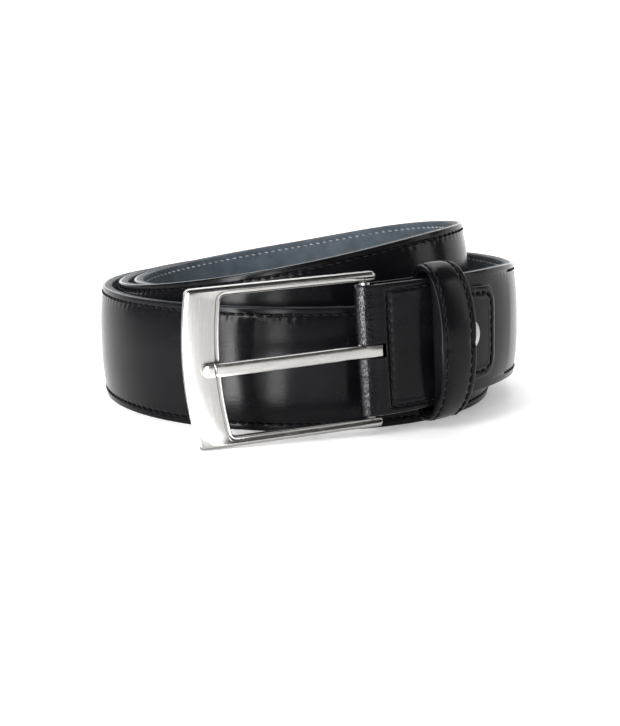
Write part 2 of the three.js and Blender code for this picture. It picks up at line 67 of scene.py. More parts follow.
# ------------------------------------------------------------------ sizes shared with the CAD model
COIL_CENTRE = (0.17, 10.5)
TURN_START = -0.2065
STRAP_WIDTH = 35.0
MIDDLE = STRAP_WIDTH / 2
BELT_LENGTH = 1050.0
STRAP_START = 8.0
SKIVE_END, FULL_FROM = 45.0, 57.0
TIP_LENGTH = 17.0
TIP_START = BELT_LENGTH - TIP_LENGTH
HOLES = dict(first=850.0, pitch=25.0, count=5, r=1.75, depth=3.2)
TILT_LINE = -66.0
TILT = [(-0.25, 5.0), (-0.1, 4.2), (0, 3.0), (0.25, 3.0), (0.4, 1.5), (0.5, 0.3), (0.6, 0), (1.08, 0),
        (1.3, 4.5), (1.5, 7.5), (1.75, 9.4), (1.87, 10.1), (2.0, 9.4), (2.13, 9.0), (2.25, 7.7),
        (2.5, 6.0), (3.1, 4.0)]
LEAN = [(-0.25, 3.0), (0.25, 1.8), (0.5, 0.2), (1.1, 0), (1.4, 1.5), (1.6, 2.5), (1.9, 5.0), (2.1, 5.5),
        (2.4, 3.0), (2.6, 2.0), (3.1, 2.0)]
EDGE_N, CROWN_N, BACK_N = 1.2, 2.3, -1.75    # outer face at its stitches and at its crown, and lining's face
STITCH_INSET = 2.0
STITCH_PITCH = 2.65
CHAPE = dict(width=36.0, leather=1.2, inside=1.65, length=44.0, inner=41.0, slot=3.9, slot_reach=4.5)
CLOSING_STITCH = 5.4
RIVET_S = 31.2
KEEPER = dict(s=22.5, width=11.0, stitches=4.0, edge_depth=1.35, seam_depth=0.95)
# Loops round the strap: middle (w, n), half height, front and back depth, and squareness along w and n.
KEEPER_INSIDE = ((16.8, 0.0), (20.2, 4.1, 4.1), (7.0, 2.5))
KEEPER_SEAM = ((16.8, 0.0), (20.9, 4.45, 4.75), (7.0, 2.5))
KEEPER_OUTSIDE = ((16.75, -1.9), (22.4, 11.0, 4.05), (2.3, 2.15))
BUCKLE = dict(height=42.6, window=37.6, front_x=48.0, bow=2.3, bar=9.7, inner_bow=1.7, thick=2.8, end=3.2)
BUCKLE_TURN = 1.5
STAGE = dict(half=3000.0, back=1200.0, height=1800.0)
PRONG = dict(length=45.5, width=3.6, eye=2.65, bore=1.52, eye_width=3.4, tail=3.35, tail_top=2.72)


# ------------------------------------------------------------------ the coil's path
def keyed(keys, t):
    """Smooth curve through (position, value) keys."""
    x = np.array([k[0] for k in keys], float)
    y = np.array([k[1] for k in keys], float)
    slope = np.empty(len(x))
    slope[1:-1] = (y[2:] - y[:-2]) / (x[2:] - x[:-2])
    slope[0] = (y[1] - y[0]) / (x[1] - x[0])
    slope[-1] = (y[-1] - y[-2]) / (x[-1] - x[-2])
    t = np.asarray(t, float)
    i = np.clip(np.searchsorted(x, t, side="left") - 1, 0, len(x) - 2)
    h = x[i + 1] - x[i]
    u = np.clip((t - x[i]) / h, 0, 1)
    return ((2 * u**3 - 3 * u**2 + 1) * y[i] + (u**3 - 2 * u**2 + u) * h * slope[i]
            + (3 * u**2 - 2 * u**3) * y[i + 1] + (u**3 - u**2) * h * slope[i + 1])


def coil_point(t):
    """The strap's lower edge at the middle of its thickness, t turns round the coil."""
    t = np.asarray(t, float)
    a = 67.8 - 8.2 * t + 0.7 * t * t
    b = 66.5 - 10.3 * t + 0.7 * t * t
    x = -1.6 - 0.5 * t + a * np.cos(2 * PI * t)
    y = -3 + b * np.sin(2 * PI * t)
    tilt = np.radians(np.maximum(keyed(TILT, t), 0))
    z = np.maximum(np.tan(tilt) * (x - TILT_LINE), 0)
    return np.stack([x + COIL_CENTRE[0], y + COIL_CENTRE[1], z], -1)


_turns = TURN_START + np.arange(6401) * 0.0005
_lengths = np.concatenate([[0], np.cumsum(np.linalg.norm(np.diff(coil_point(_turns), axis=0), axis=1))])


def unit(v):
    return v / np.linalg.norm(v, axis=-1, keepdims=True)


def frames(s):
    """Point on the lower edge, direction along, direction across and outward normal, for lengths s."""
    s = np.asarray(s, float)
    t = np.interp(np.maximum(s, 0), _lengths, _turns)
    p = coil_point(t)
    along = unit(coil_point(t + 1e-3) - coil_point(t - 1e-3))
    p = p + along * np.minimum(s, 0)[..., None]
    lean = np.radians(keyed(LEAN, t))
    across = np.stack([-np.sin(lean), np.zeros_like(lean), np.cos(lean)], -1)
    across = unit(across - along * np.sum(across * along, -1, keepdims=True))
    return p, along, across, np.cross(along, across)


def on_strap(s, w, n):
    """Points at length s, w across the strap, n outwards; the three broadcast together."""
    s, w, n = np.broadcast_arrays(np.asarray(s, float), w, n)
    p, _, across, out = frames(s)
    return p + across * w[..., None] + out * n[..., None]


# ------------------------------------------------------------------ mesh builders
def make_mesh(name, verts, faces, material, smooth=True):
    mesh = bpy.data.meshes.new(name)
    mesh.from_pydata([tuple(v) for v in np.asarray(verts) * MM], [], [tuple(f) for f in faces])
    mesh.validate()
    mesh.update()
    if smooth:
        mesh.polygons.foreach_set("use_smooth", [True] * len(mesh.polygons))
    mesh.materials.append(material)
    obj = bpy.data.objects.new(name, mesh)
    bpy.context.scene.collection.objects.link(obj)
    return obj


def sweep_faces(rows, cols, closed=False, base=0):
    """Quads of a tube with rows rings of cols points each, and its two end caps unless it is closed."""
    i, j = np.meshgrid(np.arange(rows if closed else rows - 1), np.arange(cols), indexing="ij")
    a = i * cols + j
    b = i * cols + (j + 1) % cols
    c = ((i + 1) % rows) * cols + (j + 1) % cols
    d = ((i + 1) % rows) * cols + j
    quads = (np.stack([a, b, c, d], -1).reshape(-1, 4) + base).tolist()
    if not closed:
        quads.append([base + k for k in range(cols)][::-1])
        quads.append([base + (rows - 1) * cols + k for k in range(cols)])
    return quads


def sweep(name, rings, material, closed=False):
    """Closed solid from an array of rings (rows, cols, 3)."""
    rows, cols = rings.shape[:2]
    obj = make_mesh(name, rings.reshape(-1, 3), sweep_faces(rows, cols, closed), material)
    orient(obj)
    return obj


def orient(obj):
    """Turns a closed mesh's faces outwards."""
    mesh = obj.data
    mesh.calc_loop_triangles()
    co = np.empty(len(mesh.vertices) * 3)
    mesh.vertices.foreach_get("co", co)
    co = co.reshape(-1, 3)
    tri = np.empty(len(mesh.loop_triangles) * 3, int)
    mesh.loop_triangles.foreach_get("vertices", tri)
    a, b, c = co[tri.reshape(-1, 3)].transpose(1, 0, 2)
    if np.sum(a * np.cross(b, c)) < 0:
        mesh.flip_normals()


def cut(obj, cutters):
    """Subtracts solids from obj and removes them."""
    for cutter in cutters:
        mod = obj.modifiers.new("cut", "BOOLEAN")
        mod.object = cutter
        mod.operation = "DIFFERENCE"
        mod.solver = "EXACT"
        depsgraph = bpy.context.evaluated_depsgraph_get()
        mesh = bpy.data.meshes.new_from_object(obj.evaluated_get(depsgraph))
        obj.modifiers.remove(mod)
        obj.data = mesh
    for cutter in cutters:
        bpy.data.objects.remove(cutter)


def drill(s, material, sides=28):
    """Cylinder along the strap's normal, to cut a punched hole with."""
    angle = np.arange(sides) * 2 * PI / sides
    _, along, across, out = frames(s)
    ring = on_strap(s, MIDDLE, 0.0) + HOLES["r"] * (np.cos(angle)[:, None] * along
                                                    + np.sin(angle)[:, None] * across)
    return sweep("drill", np.stack([ring - out * HOLES["depth"], ring + out * HOLES["depth"]]), material)


def capsules(name, centres, along, up, lengths, radius, material, rise=0.25, twist=0.12):
    """Stitches: short bent threads, one for each centre, whose ends dip into the leather."""
    rings, sides = 7, 7
    side = unit(np.cross(along, up))
    u = np.linspace(-1, 1, rings)
    angle = np.arange(sides) * 2 * PI / sides
    verts, faces = [], []
    shape_r = radius * np.array([0.45, 0.85, 1.0, 1.04, 1.0, 0.85, 0.45])
    lift = rise * (1 - np.abs(u) ** 2.4)
    for k in range(len(centres)):
        spine = (centres[k] + np.outer(u * lengths[k] / 2, along[k]) + np.outer(lift, up[k])
                 + np.outer(twist * u, side[k]))
        ring = (spine[:, None] + shape_r[:, None, None]
                * (np.cos(angle)[None, :, None] * side[k] + np.sin(angle)[None, :, None] * up[k]))
        faces += sweep_faces(rings, sides, base=len(verts) * rings * sides)
        verts.append(ring.reshape(-1, 3))
    obj = make_mesh(name, np.concatenate(verts), faces, material)
    orient(obj)
    return obj


def grid_uv(obj, u, v):
    """UV coordinates (metres along, metres across) for a sweep of len(u) rings of len(v) points."""
    mesh = obj.data
    layer = mesh.uv_layers.new(name="run")
    index = np.empty(len(mesh.loops), int)
    mesh.loops.foreach_get("vertex_index", index)
    row, col = np.divmod(index, len(v))
    uv = np.stack([np.asarray(u)[row] * MM, np.asarray(v)[col] * MM], -1)
    layer.data.foreach_set("uv", uv.astype(np.float32).ravel())


# ------------------------------------------------------------------ materials
class Nodes:
    """A small helper around one material's node tree."""

    def __init__(self, name):
        self.material = bpy.data.materials.new(name)
        self.material.use_nodes = True
        self.tree = self.material.node_tree
        self.bsdf = self.tree.nodes["Principled BSDF"]

    def add(self, kind, inputs=None, **settings):
        node = self.tree.nodes.new(kind)
        for key, value in settings.items():
            setattr(node, key, value)
        for key, value in (inputs or {}).items():
            self.set(node, key, value)
        return node

    def set(self, node, key, value):
        if isinstance(value, bpy.types.NodeSocket):
            self.tree.links.new(value, node.inputs[key])
        else:
            node.inputs[key].default_value = value

    def shade(self, **inputs):
        for key, value in inputs.items():
            self.set(self.bsdf, key.replace("_", " "), value)
        return self.material

    def run(self, scale):
        """Coordinates along and across the piece, scaled."""
        uv = self.add("ShaderNodeUVMap", uv_map="run")
        return self.add("ShaderNodeMapping", {"Vector": uv.outputs[0], "Scale": scale}).outputs[0]

    def along(self):
        """The direction along the piece."""
        return self.add("ShaderNodeTangent", direction_type="UV_MAP", uv_map="run").outputs[0]

    def place(self, scale, turn=(0, 0, 0)):
        """Coordinates in the part's frame, turned and scaled."""
        where = self.add("ShaderNodeTexCoord").outputs["Object"]
        return self.add("ShaderNodeMapping", {"Vector": where, "Scale": scale, "Rotation": turn}).outputs[0]

    def noise(self, vector, detail=3.0, rough=0.55, scale=1.0):
        return self.add("ShaderNodeTexNoise", {"Vector": vector, "Scale": scale, "Detail": detail,
                                               "Roughness": rough}).outputs["Fac"]

    def cells(self, vector, feature="F1"):
        node = self.add("ShaderNodeTexVoronoi", {"Vector": vector, "Scale": 1.0}, feature=feature)
        return node.outputs["Distance"]

    def span(self, value, low, high, to_low=0.0, to_high=1.0):
        ends = {"From Min": low, "From Max": high, "To Min": to_low, "To Max": to_high}
        return self.add("ShaderNodeMapRange", {"Value": value, **ends}).outputs[0]

    def maths(self, operation, a, b=0.0):
        node = self.add("ShaderNodeMath", operation=operation)
        self.set(node, 0, a)
        self.set(node, 1, b)
        return node.outputs[0]

    def blend(self, factor, a, b):
        node = self.add("ShaderNodeMix", data_type="RGBA")
        self.set(node, 0, factor)
        self.set(node, 6, a)
        self.set(node, 7, b)
        return node.outputs[2]

    def bump(self, height, strength, distance, normal=None):
        node = self.add("ShaderNodeBump", {"Height": height, "Strength": strength, "Distance": distance})
        if normal is not None:
            self.set(node, "Normal", normal)
        return node.outputs[0]


def grey(value, blue=0.0):
    return (value, value, value + blue, 1.0)


def black_leather(name, crinkle=False, gloss=0.12):
    """Polished calf leather: near black, with fine creases along the strap; crinkle adds cracks."""
    n = Nodes(name)
    creases = n.noise(n.run((260, 2600, 1)), detail=4, rough=0.6)
    pores = n.cells(n.run((2100, 2400, 1)))
    broad = n.noise(n.run((45, 110, 1)), detail=2)
    height = n.maths("ADD", n.maths("MULTIPLY", creases, 0.75), n.maths("MULTIPLY", pores, 0.25))
    normal = n.bump(height, 0.6, 0.00006)
    normal = n.bump(broad, 0.25, 0.0003, normal)
    rough = n.span(creases, 0.3, 0.7, 0.15, 0.24)
    if crinkle:
        mask = n.add("ShaderNodeAttribute", attribute_name="crinkle").outputs["Fac"]
        cracks = n.cells(n.run((1500, 900, 1)), "DISTANCE_TO_EDGE")
        cracks = n.span(cracks, 0.0, 0.35)
        height = n.maths("MULTIPLY", cracks, mask)
        normal = n.bump(height, 0.8, 0.00012, normal)
        rough = n.maths("ADD", rough, n.maths("MULTIPLY", mask, -0.05))
    colour = n.blend(n.span(broad, 0.35, 0.65), grey(0.0022, 0.0006), grey(0.0042, 0.0008))
    return n.shade(Base_Color=colour, Roughness=rough, Normal=normal, Specular_IOR_Level=gloss,
                   Anisotropic=0.75, Anisotropic_Rotation=0.25, Tangent=n.along())


def lining_leather(name):
    """Matt blue-grey split leather."""
    n = Nodes(name)
    cloud = n.noise(n.run((160, 190, 1)), detail=4)
    nap = n.noise(n.run((2600, 2200, 1)), detail=4, rough=0.7)
    pores = n.cells(n.run((1500, 1500, 1)))
    colour = n.blend(n.span(cloud, 0.3, 0.7), (0.040, 0.053, 0.065, 1), (0.068, 0.085, 0.102, 1))
    colour = n.blend(n.span(nap, 0.55, 0.85, 0, 0.35), colour, (0.10, 0.12, 0.135, 1))
    height = n.maths("ADD", nap, n.maths("MULTIPLY", pores, 0.5))
    return n.shade(Base_Color=colour, Roughness=n.span(nap, 0.3, 0.7, 0.55, 0.75),
                   Normal=n.bump(height, 0.35, 0.00008), Specular_IOR_Level=0.35)


def painted_edge(name):
    """Burnished and painted cut edge: smoother than the leather, with faint layers."""
    n = Nodes(name)
    layers = n.noise(n.run((60, 5200, 1)), detail=3)
    grainy = n.noise(n.run((900, 900, 1)), detail=3)
    colour = n.blend(n.span(layers, 0.35, 0.65), (0.005, 0.005, 0.006, 1), (0.016, 0.016, 0.018, 1))
    return n.shade(Base_Color=colour, Roughness=n.span(grainy, 0.3, 0.7, 0.34, 0.5),
                   Normal=n.bump(n.maths("ADD", layers, grainy), 0.3, 0.00008), Specular_IOR_Level=0.2)


def thread(name, low, high, roughness):
    """Twisted two-ply thread."""
    n = Nodes(name)
    fibre = n.noise(n.place((5200, 5200, 5200)), detail=3, rough=0.7)
    tone = n.noise(n.place((700, 700, 700)), detail=2)
    colour = n.blend(n.span(tone, 0.35, 0.65), low, high)
    return n.shade(Base_Color=colour, Roughness=n.span(fibre, 0.3, 0.7, roughness - 0.08, roughness + 0.12),
                   Normal=n.bump(fibre, 0.5, 0.00006), Specular_IOR_Level=0.08)


def brushed_nickel(name, low=0.20, high=0.30, along=(30, 5200, 1), tone=1.0):
    """Satin nickel plate: brush lines run with the metal, a little uneven in tone."""
    n = Nodes(name)
    lines = n.noise(n.run(along), detail=5, rough=0.7)
    cloud = n.noise(n.run((120, 160, 1)), detail=2)
    # tone scales the whole colour; below 1 it gives a darker copy of the same nickel, which is painted shade.
    dark, light = ((0.37 * tone, 0.362 * tone, 0.35 * tone, 1), (0.46 * tone, 0.452 * tone, 0.44 * tone, 1))
    colour = n.blend(n.span(lines, 0.3, 0.7), dark, light)
    rough = n.maths("ADD", n.span(lines, 0.3, 0.7, low, high), n.span(cloud, 0.3, 0.7, -0.02, 0.03))
    return n.shade(Base_Color=colour, Metallic=1.0, Roughness=rough, Normal=n.bump(lines, 0.12, 0.00003),
                   Anisotropic=0.35)


# ------------------------------------------------------------------ strap
def tip_scale(s):
    u = np.clip((np.asarray(s, float) - TIP_START) / TIP_LENGTH, 0, 1)
    return (1 - u**2.2)**0.6


def skived(s):
    """0 inside the chape, where the strap end is pared down, to 1 where the strap has its full thickness."""
    return np.clip((np.asarray(s, float) - SKIVE_END) / (FULL_FROM - SKIVE_END), 0, 1)


def crown_share(s):
    return np.clip((TIP_START + 2 - np.asarray(s, float)) / 14, 0, 1)


def strap_stations(step):
    count = int(round((TIP_START - STRAP_START) / step))
    body = np.linspace(STRAP_START, TIP_START, count + 1)
    u = 1 - (1 - np.linspace(0, 1, 26)[1:] * 0.96)**1.6
    return np.concatenate([body, TIP_START + TIP_LENGTH * u])


def groove(distance, s):
    """Depth of a stitch line's channel: deepest at the needle holes, pulled in a little along each stitch."""
    holes = 0.5 + 0.5 * np.cos(2 * PI * s / STITCH_PITCH)
    return (0.17 + 0.13 * holes) * np.exp(-(distance / 0.33)**2)


def outer_face(s, d):
    """Height of the outer face, d from the nearer edge."""
    x = np.clip((d - 2.45) / (MIDDLE - 2.45), 0, 1)
    padding = (CROWN_N - EDGE_N) * (1 - (1 - x)**2.6)**0.8 * crown_share(s)
    puff = 0.07 * np.cos(2 * PI * s / STITCH_PITCH) * np.exp(-((d - 3.0) / 0.55)**2)
    return EDGE_N + padding - groove(d - STITCH_INSET, s) - puff


def face_columns():
    """Positions right across a face, closest together at the stitches and the padding's edge."""
    d = np.array([0.5, 0.8, 1.15, 1.45, 1.65, 1.82, 2.0, 2.18, 2.35, 2.55, 2.85, 3.3, 3.9, 4.8,
                  6.2, 8.0, 10.2, 12.6, 15.0, 17.5])
    return np.concatenate([d, STRAP_WIDTH - d[::-1][1:]])


def strap_layer(name, material, stations, face, under, corner):
    """One layer of the strap: a face with stitch channels, rounded edges and a plain underside."""
    w = face_columns()
    d = np.minimum(w, STRAP_WIDTH - w)
    s = stations[:, None]
    k = skived(s)
    sides = np.array([(0.0, 0.25), (0.03, 0.55), (0.1, 0.8), (0.26, 0.95)])    # (inset, share of the edge)
    top = face(s, d[None]) * k + corner["pared"] * (1 - k)
    base = under["full"] * k + under["pared"] * (1 - k)
    lip = face(s, np.array([[0.5]])) * k + corner["pared"] * (1 - k)
    left_w = np.concatenate([[0.0], sides[:, 0]]) + corner["inset"]
    left_n = base + (lip - base) * np.concatenate([[0.0], sides[:, 1]])[None]
    cols_w = np.concatenate([left_w, w, STRAP_WIDTH - left_w[::-1], [MIDDLE]])
    cols_n = np.concatenate([left_n, top, left_n[:, ::-1], base], 1)
    scale = tip_scale(s)
    placed = MIDDLE + (cols_w[None] - MIDDLE) * scale
    rings = on_strap(np.broadcast_to(s, placed.shape), placed, cols_n)
    obj = sweep(name, rings, material)
    grid_uv(obj, stations, cols_w)
    return obj


def inner_face(s, d):
    """Height of the lining's face, d from the nearer edge."""
    return BACK_N + groove(d - STITCH_INSET, s) * 0.8


def build_strap(leather, lining, edge, black_thread, grey_thread):
    stations = strap_stations(STITCH_PITCH / 4)
    outer = strap_layer("strap_leather", leather, stations, outer_face, dict(full=0.33, pared=0.5),
                        dict(pared=1.2, inset=0.0))
    inner = strap_layer("strap_backing", lining, stations, inner_face, dict(full=-0.95, pared=-0.5),
                        dict(pared=-1.2, inset=0.05))
    coarse = strap_stations(2.0)
    rim = np.array([(0.45, -0.94), (0.16, -0.84), (0.08, -0.62), (0.05, -0.3), (0.08, 0.02), (0.16, 0.23),
                    (0.45, 0.33)])
    w = np.concatenate([rim[:, 0], STRAP_WIDTH - rim[::-1, 0]])
    n = np.concatenate([rim[:, 1], rim[::-1, 1]])
    s = coarse[:, None]
    thin = 0.5 + 0.5 * skived(s)
    placed = MIDDLE + (w[None] - MIDDLE) * tip_scale(s)
    core = sweep("strap_core", on_strap(np.broadcast_to(s, placed.shape), placed, n[None] * thin), edge)
    grid_uv(core, coarse, w)
    for obj in (outer, inner, core):
        cut(obj, [drill(HOLES["first"] + i * HOLES["pitch"], edge) for i in range(HOLES["count"])])

    path = stitch_path()
    pieces = [(outer, ["strap_outer"], "black_leather"), (inner, ["strap_lining"], "lining_leather"),
              (core, ["strap_filler"], "filler_board")]
    front = stitches("strap_stitches", path, EDGE_N - 0.13, 1, black_thread)
    back = stitches("backing_stitches", path, BACK_N + 0.12, -1, grey_thread, cover=0.55)
    pieces += [(front, ["strap_thread_outer"], "black_thread"), (back, ["strap_thread_inner"], "grey_thread")]
    for obj, nodes, slot in pieces:
        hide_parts(*nodes)
        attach(obj, "strap")


def stitch_path():
    """The strap's stitch line as (along, across) points: down one edge, across the tip and back."""
    s = np.concatenate([np.arange(FULL_FROM - 1, TIP_START, 0.5),
                        TIP_START + TIP_LENGTH * np.linspace(0, 0.82, 30)])
    half = (MIDDLE - STITCH_INSET) * tip_scale(s)
    low = np.stack([s, MIDDLE - half], -1)
    high = np.stack([s, MIDDLE + half], -1)[::-1]
    return np.concatenate([low, high])


def stitches(name, path, height, sign, material, pitch=STITCH_PITCH, radius=0.27, cover=0.86):
    """A row of stitches along a path of (along, across) points, on the face at that height."""
    step = np.concatenate([[0], np.cumsum(np.linalg.norm(np.diff(path, axis=0), axis=1))])
    count = int(step[-1] / pitch)
    middle = (np.arange(count) + 0.5) * pitch
    s, w = (np.interp(middle, step, path[:, k]) for k in (0, 1))
    s2, w2 = (np.interp(middle + 0.2, step, path[:, k]) for k in (0, 1))
    centres = on_strap(s, w, height)
    along = unit(on_strap(s2, w2, height) - centres)
    up = frames(s)[3] * sign
    return capsules(name, centres, along, up, np.full(count, pitch * cover), radius, material)


# ------------------------------------------------------------------ chape
def tab_inset(s):
    """How far the chape's side lies in from its full width, at length s from the bar."""
    keys = np.array([(0, 0), (28, 0), (29.5, 1.2), (31, 3.2), (33.5, 4.4), (40.6, 4.8), (42.6, 6.0),
                     (43.7, 8.2), (44.0, 10.6)])
    return np.interp(s, keys[:, 0], keys[:, 1])


def outline_stitches():
    """(along, across) points of the chape's stitch line, from one side of the fold round the tab."""
    side = [(6.3, 2.0), (26.0, 2.0), (28.2, 3.0), (30.0, 5.2), (33.0, 6.4), (39.2, 6.8), (40.9, 7.8),
            (41.7, 9.4), (42.0, 11.6)]
    low = np.array([(s, MIDDLE - CHAPE["width"] / 2 + inset) for s, inset in side])
    high = np.stack([low[:, 0], STRAP_WIDTH - low[:, 1]], -1)[::-1]
    points = np.concatenate([low, high])
    step = np.concatenate([[0], np.cumsum(np.linalg.norm(np.diff(points, axis=0), axis=1))])
    fine = np.arange(0, step[-1], 0.15)
    return np.stack([np.interp(fine, step, points[:, k]) for k in (0, 1)], -1)


def nearest(points, path):
    """Distance from each point to a path, and how far along the path that is."""
    run = np.concatenate([[0], np.cumsum(np.linalg.norm(np.diff(path, axis=0), axis=1))])
    best = np.full(len(points), np.inf)
    at = np.zeros(len(points))
    for start in range(0, len(points), 4000):
        chunk = points[start:start + 4000]
        gap = np.linalg.norm(chunk[:, None] - path[None], axis=2)
        k = gap.argmin(1)
        best[start:start + 4000] = gap[np.arange(len(chunk)), k]
        at[start:start + 4000] = run[k]
    return best, at


def build_chape(leather, glazed, black_thread):
    c = CHAPE
    mid_r = c["inside"] + c["leather"] / 2
    half = c["leather"] / 2
    front = np.concatenate([np.linspace(c["length"], 42.6, 12)[:-1], np.arange(42.6, 26, -0.35),
                            np.arange(26, 0.2, -0.45)])
    bend = np.linspace(PI / 2, 1.5 * PI, 22)
    back = np.concatenate([np.arange(1.0, 26, 1.2), np.linspace(26, 44, 22)])
    path = [(s, mid_r, 0.0, 1.0, s, 1) for s in front]
    path += [(mid_r * math.cos(a), mid_r * math.sin(a), math.cos(a), math.sin(a), 0.0, 0) for a in bend]
    path += [(s * c["inner"] / c["length"], -mid_r, 0.0, -1.0, s, -1) for s in back]
    path = np.array(path)
    s, n, ds, dn, tab, face = path.T[:, :, None]
    columns = np.linspace(-1, 1, 109)[None]
    half_width = c["width"] / 2 - tab_inset(tab)
    w = MIDDLE + columns * (half_width - 0.35)
    rows = len(path)

    flat = np.stack([np.broadcast_to(s, w.shape), w], -1).reshape(-1, 2)
    gap, at = nearest(flat, outline_stitches())
    gap, at = gap.reshape(w.shape), at.reshape(w.shape)
    holes = 0.5 + 0.5 * np.cos(2 * PI * at / STITCH_PITCH)
    sink = (0.2 + 0.13 * holes) * np.exp(-(gap / 0.38)**2) - 0.1 * np.exp(-((gap - 1.0) / 0.5)**2)
    across_holes = 0.5 + 0.5 * np.cos(2 * PI * (w - MIDDLE) / STITCH_PITCH)
    bar_gap = s - CLOSING_STITCH
    sink = sink + (0.6 + 0.2 * across_holes) * np.exp(-(bar_gap / 0.72)**2) * (np.abs(w - MIDDLE) < 16.3)
    sink = np.where(face > 0, sink, 0)
    puff = np.where(face > 0, 0.24 * np.exp(-((s - 2.6) / 1.3)**2), 0)    # the fold bulges before its seam
    rim = np.where(face > 0, 0.16 * (1 - np.clip((c["length"] - s) / 0.5, 0, 1))**2, 0)
    rise = (half - sink + puff - rim)
    ripple = 0.05 * np.sin(w * 2.1 + 3 * np.sin(w * 0.7)) * np.exp(-((s + 1.2) / 2.6)**2)
    rise = rise + ripple * (np.abs(face) < 2) * (s < 4)

    outer_w, outer_s, outer_n = w, s + ds * rise, n + dn * rise
    edge = np.array([(0.2, 0.78), (0.05, 0.35), (0.0, -0.3), (0.06, -0.75), (0.3, -1.0)])   # (inset, height)
    lip_w = edge[:, 0][None]
    lip_k = edge[:, 1][None] * half
    right_w = MIDDLE + (half_width - lip_w)
    left_w = MIDDLE - (half_width - lip_w)
    under_w = MIDDLE + np.linspace(0.9, -0.9, 7)[None] * half_width
    cols = [(outer_w, outer_s, outer_n),
            (right_w, s + ds * lip_k, n + dn * lip_k),
            (under_w, s - ds * half + 0 * under_w, n - dn * half + 0 * under_w),
            (left_w[:, ::-1], s + ds * lip_k[:, ::-1], n + dn * lip_k[:, ::-1])]
    ring_w, ring_s, ring_n = (
        np.concatenate([np.broadcast_to(col[k], (rows, col[0].shape[1])) for col in cols], 1)
        for k in range(3))
    obj = sweep("chape_leather", on_strap(ring_s, ring_w, ring_n), leather)
    run = np.concatenate([[0], np.cumsum(np.hypot(np.diff(path[:, 0]), np.diff(path[:, 1])))])
    grid_uv(obj, run, ring_w[rows // 2])
    obj.data.materials.append(glazed)
    row = np.arange(len(obj.data.polygons)) // ring_s.shape[1]
    on_bend = (row >= len(front) + 3) & (row <= len(front) + 9)
    obj.data.polygons.foreach_set("material_index", on_bend.astype(np.int32))
    fold = np.exp(-((ring_s + 1.0) / 2.2)**2) * (np.abs(ring_n) > 0.3)
    crinkle = obj.data.attributes.new("crinkle", "FLOAT", "POINT")
    crinkle.data.foreach_set("value", fold.astype(np.float32).ravel())
    cut(obj, [bar_box(-5, c["slot_reach"], low, high, c["slot"]) for low, high in ((0, 5), (-5, 0.5))])
    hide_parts("chape")
    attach(obj, "strap")

    top = c["inside"] + c["leather"] - 0.16
    outline = stitches("chape_stitches", outline_stitches(), top, 1, black_thread, radius=0.26)
    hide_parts("chape_thread_outline")
    closing = np.stack([np.full(220, CLOSING_STITCH), np.linspace(1.3, 33.7, 220)], -1)
    bar = stitches("fold_stitches", closing, top - 0.42, 1, black_thread, radius=0.26)
    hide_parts("chape_thread_bar")
    for stitched in (outline, bar):
        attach(stitched, "strap")


def bar_axes():
    _, along, across, out = frames(0.0)
    return on_strap(0.0, MIDDLE, 0.0), along, across, out


def bar_box(s0, s1, n0, n1, width):
    """Box at the crossbar, to cut the prong's slot with."""
    centre, along, across, out = bar_axes()
    ring = [centre + along * s + out * n for s, n in ((s0, n0), (s1, n0), (s1, n1), (s0, n1))]
    rings = np.array([[p + across * k * width / 2 for p in ring] for k in (-1, 1)])
    return sweep("slot", rings, bpy.data.materials["black_leather"])


# ------------------------------------------------------------------ rivet
def lathe(name, origin, axis, other, profile, material, sides=64):
    """Solid of revolution from (radius, height) points that run from the axis back to the axis."""
    axis, other = unit(np.asarray(axis)), unit(np.asarray(other))
    third = np.cross(axis, other)
    angle = np.arange(sides) * 2 * PI / sides
    round_ = np.cos(angle)[:, None] * other + np.sin(angle)[:, None] * third
    profile = np.array([(max(r, 0.01), h) for r, h in profile])
    rings = np.asarray(origin) + profile[:, 0, None, None] * round_ + profile[:, 1, None, None] * axis
    obj = sweep(name, rings, material)
    grid_uv(obj, np.cumsum(np.hypot(*np.diff(profile, axis=0, prepend=profile[:1]).T)), angle * 4)
    return obj


def build_rivet(nickel):
    _, along, _, out = frames(RIVET_S)
    at = on_strap(RIVET_S, MIDDLE, 0.0)
    face = CHAPE["inside"] + CHAPE["leather"]
    dome = [(4.5 * math.cos(a), 0.25 + 0.65 * math.sin(a)**0.9) for a in np.linspace(0.06, PI / 2, 16)]
    head = [(0, -face - 0.5), (1.4, -face - 0.5), (1.4, face), (3.9, face - 0.02), (4.35, face + 0.02),
            (4.5, face + 0.16)]
    head += [(r, face + h) for r, h in dome[1:]]
    head[-1] = (0, head[-1][1])
    cap = [(r, h - face) for r, h in ((0, -1.05), (3.3, -1.02), (3.8, -0.85), (4.0, -0.55), (3.9, -0.25),
                                      (3.5, 0.02), (1.7, 0.02), (1.7, -0.75), (0, -0.75))]
    for name, node, profile in (("rivet_head", "rivet", head), ("rivet_back", "rivet_cap", cap)):
        obj = lathe(name, at, out, along, profile, nickel)
        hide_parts(node)
        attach(obj, "strap")


# ------------------------------------------------------------------ keeper
def keeper_curve(loop, angle):
    (w, n), (height, front, back), (square_w, square_n) = loop
    c, d = np.cos(angle), np.sin(angle)
    return (w + height * np.sign(c) * np.abs(c)**(2 / square_w),
            n + np.where(d > 0, front, back) * np.sign(d) * np.abs(d)**(2 / square_n))


def keeper_angles(step):
    """Angles round the loop, from one side of its joint at the back to the other, evenly spaced along it."""
    fine = -PI / 2 + 0.004 + (2 * PI - 0.008) * np.linspace(0, 1, 20001)
    w, n = keeper_curve(KEEPER_OUTSIDE, fine)
    run = np.concatenate([[0], np.cumsum(np.hypot(np.diff(w), np.diff(n)))])
    return np.interp(np.linspace(0, run[-1], int(run[-1] / step)), run, fine), run[-1]


def keeper_padding(thick):
    """How much of the padding's relief the band keeps where it is that thick."""
    return np.clip(thick / 2.0, 0.45, 1)


